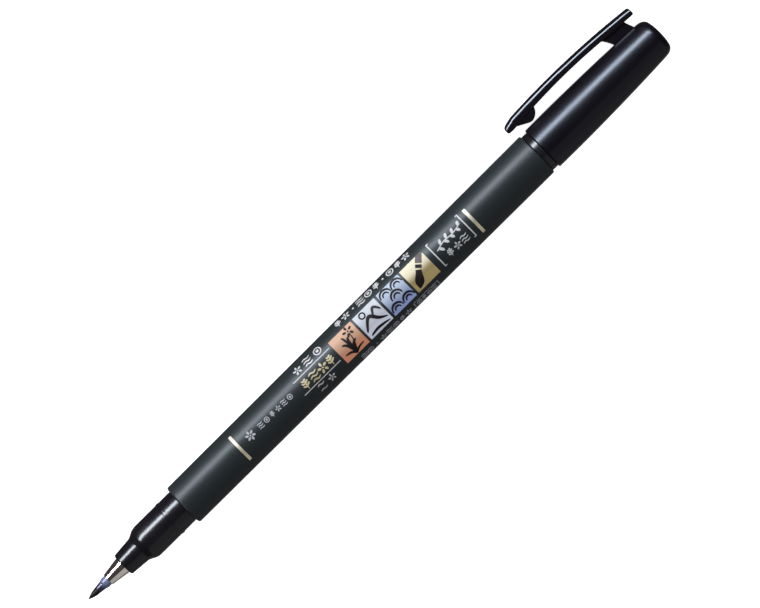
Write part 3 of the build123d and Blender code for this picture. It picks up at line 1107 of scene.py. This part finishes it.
def makeFloor():
    letGo()
    bpy.ops.mesh.primitive_circle_add(vertices=96, radius=stage["floorRadius"], fill_type="NGON")
    floor = bpy.context.object
    floor.name = "studio_floor"
    bpy.ops.object.mode_set(mode="EDIT")
    pickEdges(floor, lambda edge: True)
    bpy.ops.mesh.extrude_edges_move(TRANSFORM_OT_translate={"value": (0, 0, stage["floorWall"])})
    pickEdges(floor, lambda edge: all(abs(vertex.co.z) < 0.01 for vertex in edge.verts))
    bpy.ops.mesh.bevel(offset=stage["floorCove"], offset_type="OFFSET", segments=10, affect="EDGES")
    closeMesh()
    bpy.ops.object.shade_smooth_by_angle(angle=math.radians(40))
    floor.data.materials.append(floorPaper())
    floor.visible_glossy = False
    floor.visible_diffuse = False
    floor.location.z = cadBox[0][2]
    bpy.ops.object.transform_apply(location=True, rotation=True, scale=True)


def hangLight(name, direction, distance, width, height, glow):
    # a flat panel facing the pen, its width along the pen
    letGo()
    bpy.ops.object.light_add(type="AREA")
    panel = bpy.context.object
    panel.name = name
    panel.data.shape = "RECTANGLE"
    panel.data.size = width
    panel.data.size_y = height
    panel.data.energy = glow * math.pi * width * height
    middle = Vector((0, axisY, axisZ))
    panel.location = middle + direction.normalized() * distance
    across = Vector((1, 0, 0))
    out = direction.normalized()
    up = out.cross(across)
    panel.rotation_euler = Matrix((across, up, out)).transposed().to_euler()
    return panel


def aroundPen(angle):
    # a direction that many degrees from the view axis towards the clip, square to the pen
    turn = math.radians(angle)
    return printSide * math.cos(turn) + clipSide * math.sin(turn)


def makeLights():
    spread = 2 * stage["keyDistance"] * math.tan(math.radians(stage["keySpread"] / 2))
    key = hangLight("key_strip", aroundPen(stage["keyAngle"]), stage["keyDistance"], stage["keyLength"],
                    spread, stage["keyGlow"])
    key.data.color = stage["keyColour"]
    key.visible_diffuse = False
    hangLight("grey_card", aroundPen(stage["cardAngle"]), 0.9, 1.6, 1.35, stage["cardGlow"])
    low = hangLight("low_card", Vector((0, 0.85, -0.53)), 0.9, 1.6, 1.1, stage["lowCardGlow"])
    low.data.color = (1.0, 0.97, 0.94)
    # the floods light the pen without showing in its gloss
    for name, power, direction, width, height in (
            ("flood", stage["topFlood"], (0.15, -0.5, 1.0), 1.4, 1.4),
            ("side_flood", stage["sideFlood"], (0.0, -1.0, 0.12), 2.2, 1.0),
            ("back_flood", stage["backFlood"], (0.0, 1.0, 0.22), 2.2, 0.5)):
        flood = hangLight(name, Vector(direction), 1.5, width, height, 1.0)
        flood.data.energy = power
        flood.visible_glossy = False
    world = bpy.data.worlds.new("studio")
    bpy.context.scene.world = world
    world.use_nodes = True
    world.node_tree.nodes["Background"].inputs["Color"].default_value = (*stage["worldTone"], 1)


def makeCamera():
    letGo()
    bpy.ops.object.camera_add()
    camera = bpy.context.object
    camera.name = "studio_camera"
    camera.data.sensor_width = 36.0
    camera.data.lens = stage["lens"]
    distance = stage["viewWidth"] * mm * camera.data.lens / camera.data.sensor_width
    turn = math.radians(stage["tilt"])
    right = towardsCap * math.cos(turn) - clipSide * math.sin(turn)
    up = towardsCap * math.sin(turn) + clipSide * math.cos(turn)
    camera.location = penToFrame @ Vector(stage["aim"]) + printSide * distance
    camera.rotation_euler = Matrix((right, up, printSide)).transposed().to_euler()
    camera.data.clip_start = 0.01
    camera.data.clip_end = 20
    bpy.context.scene.camera = camera


print("stage")
makeFloor()
makeLights()
makeCamera()
bpy.context.scene.view_settings.view_transform = "Standard"
